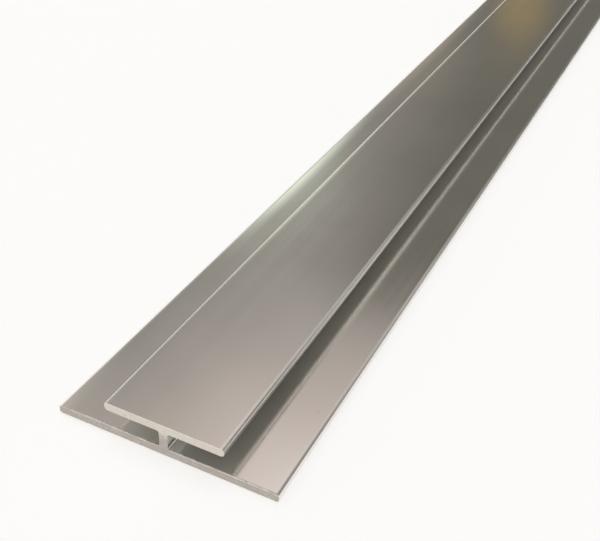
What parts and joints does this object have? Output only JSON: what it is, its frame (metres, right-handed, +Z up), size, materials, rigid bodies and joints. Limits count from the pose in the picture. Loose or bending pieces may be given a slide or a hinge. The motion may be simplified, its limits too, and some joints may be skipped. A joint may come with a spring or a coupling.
{
  "type": "aluminium extrusion profile",
  "caption": "Mill-finish aluminium H section with a wide base flange and a narrow face flange, for joining 4 mm panels edge to edge.",
  "frame": {"origin": "underside of the base flange, on the centre line and halfway along the length", "axes": "+X across the section, +Y along the extruded length, +Z up from the wide base flange to the narrow face flange"},
  "size_m": [0.052, 1, 0.0082],
  "materials": {
    "mill_aluminium": "mill finish as extruded, satin, with faint die lines along the length and bare sawn ends"
  },
  "bodies": {
    "root": {"h_profile": "mill_aluminium"}
  },
  "joints": []
}
